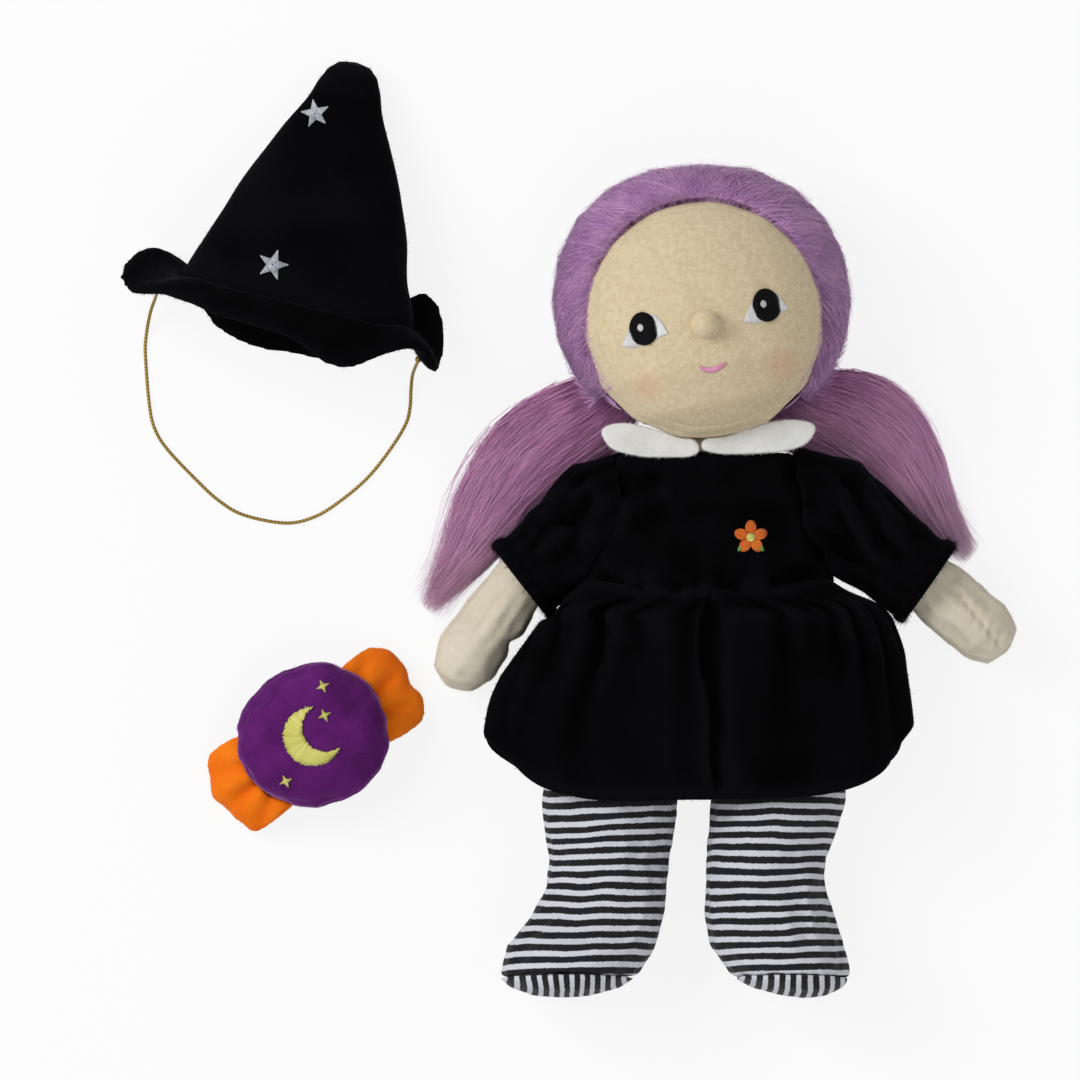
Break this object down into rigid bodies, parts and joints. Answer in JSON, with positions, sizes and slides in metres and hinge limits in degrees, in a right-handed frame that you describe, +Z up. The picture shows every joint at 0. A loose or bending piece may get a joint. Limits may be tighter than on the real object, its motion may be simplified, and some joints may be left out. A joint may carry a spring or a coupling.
{
  "type": "cloth witch doll",
  "caption": "Stuffed cloth witch doll lying on its back in a velour dress, with tilting head, lifting arms and legs, a lift-off pointed hat and a plush candy.",
  "frame": {"origin": "on the table under the middle of the dress, at the flat of its back", "axes": "+X to the doll's left, +Y to its head, +Z up out of its chest; the doll lies on its back"},
  "size_m": [0.39, 0.4044, 0.0957],
  "materials": {
    "cotton_knit": "fine cream cotton knit",
    "plush_ivory": "short ivory plush",
    "plush_white": "short white plush",
    "stripe": "cotton with dark blue and white stripes",
    "velour_black": "blue black velour",
    "velour_purple": "purple velour",
    "velour_orange": "orange velour",
    "mohair": "lilac mohair",
    "fibre": "white stuffing fibre",
    "thread_white": "white satin stitch",
    "thread_black": "black satin stitch",
    "thread_pink": "pink satin stitch",
    "thread_orange": "orange satin stitch",
    "thread_yellow": "pale yellow satin stitch",
    "thread_silver": "silver grey satin stitch",
    "elastic_gold": "gold covered elastic"
  },
  "bodies": {
    "doll_body": {"body_front": "cotton_knit", "body_back": "cotton_knit", "body_stuffing": "fibre", "neck": "cotton_knit", "bodice_front": "velour_black", "bodice_back": "velour_black", "skirt_front": "velour_black", "skirt_back": "velour_black", "sleeve_left": "velour_black", "sleeve_right": "velour_black", "collar_left": "plush_white", "collar_right": "plush_white", "chest_badge": "thread_orange"},
    "head": {"face_panel": "cotton_knit", "head_back": "cotton_knit", "head_stuffing": "fibre", "nose": "cotton_knit", "eye_white_left": "thread_white", "eye_white_right": "thread_white", "iris_left": "thread_black", "iris_right": "thread_black", "mouth": "thread_pink", "hair_cap": "mohair", "hair_tie_left": "mohair", "hair_tie_right": "mohair"},
    "bunch_left": {"hair_bunch_left": "mohair"},
    "bunch_right": {"hair_bunch_right": "mohair"},
    "arm_left": {"arm_front_left": "plush_ivory", "arm_back_left": "plush_ivory", "arm_stuffing_left": "fibre", "cuff_left": "velour_black"},
    "arm_right": {"arm_front_right": "plush_ivory", "arm_back_right": "plush_ivory", "arm_stuffing_right": "fibre", "cuff_right": "velour_black"},
    "leg_left": {"leg_front_left": "stripe", "leg_back_left": "stripe", "leg_stuffing_left": "fibre", "sole_left": "stripe"},
    "leg_right": {"leg_front_right": "stripe", "leg_back_right": "stripe", "leg_stuffing_right": "fibre", "sole_right": "stripe"},
    "hat": {"hat_cone": "velour_black", "hat_brim": "velour_black", "hat_star_1": "thread_silver", "hat_star_2": "thread_silver", "hat_elastic": "elastic_gold", "elastic_knot_left": "elastic_gold", "elastic_knot_right": "elastic_gold"},
    "candy": {"candy_front": "velour_purple", "candy_back": "velour_purple", "candy_stuffing": "fibre", "candy_wing_upper": "velour_orange", "candy_wing_lower": "velour_orange", "candy_crescent": "thread_yellow", "candy_sparkle_1": "thread_yellow", "candy_sparkle_2": "thread_yellow", "candy_sparkle_3": "thread_yellow"}
  },
  "joints": [
    {"name": "head_tilt", "type": "hinge", "parent": "doll_body", "child": "head", "pos_m": [0.0013, 0.096, 0.046], "axis": [0, 0, 1], "range_deg": [-18, 12], "deforming": ["neck", "collar_left", "collar_right", "hair_bunch_left", "hair_bunch_right"]},
    {"name": "bunch_swing_left", "type": "hinge", "parent": "head", "child": "bunch_left", "pos_m": [0.037, 0.112, 0.018], "axis": [0, 0, 1], "range_deg": [0, 18]},
    {"name": "bunch_swing_right", "type": "hinge", "parent": "head", "child": "bunch_right", "pos_m": [-0.035, 0.112, 0.018], "axis": [0, 0, 1], "range_deg": [-18, 0]},
    {"name": "arm_lift_left", "type": "hinge", "parent": "doll_body", "child": "arm_left", "pos_m": [0.0683, 0.055, 0.026], "axis": [-0.6428, -0.766, 0], "range_deg": [0, 80], "deforming": ["sleeve_left"]},
    {"name": "arm_lift_right", "type": "hinge", "parent": "doll_body", "child": "arm_right", "pos_m": [-0.0603, 0.055, 0.026], "axis": [-0.8192, 0.5736, 0], "range_deg": [0, 80], "deforming": ["sleeve_right"]},
    {"name": "leg_lift_left", "type": "hinge", "parent": "doll_body", "child": "leg_left", "pos_m": [0.034, -0.038, 0.025], "axis": [-1, 0, 0], "range_deg": [0, 75], "deforming": ["skirt_front"]},
    {"name": "leg_lift_right", "type": "hinge", "parent": "doll_body", "child": "leg_right", "pos_m": [-0.039, -0.038, 0.025], "axis": [-1, 0, 0], "range_deg": [0, 75], "deforming": ["skirt_front"]},
    {"name": "hat_lift", "type": "slide", "parent": "doll_body", "child": "hat", "axis": [0, 0, 1], "range_m": [0, 0.12]},
    {"name": "candy_lift", "type": "slide", "parent": "doll_body", "child": "candy", "axis": [0, 0, 1], "range_m": [0, 0.12]}
  ]
}
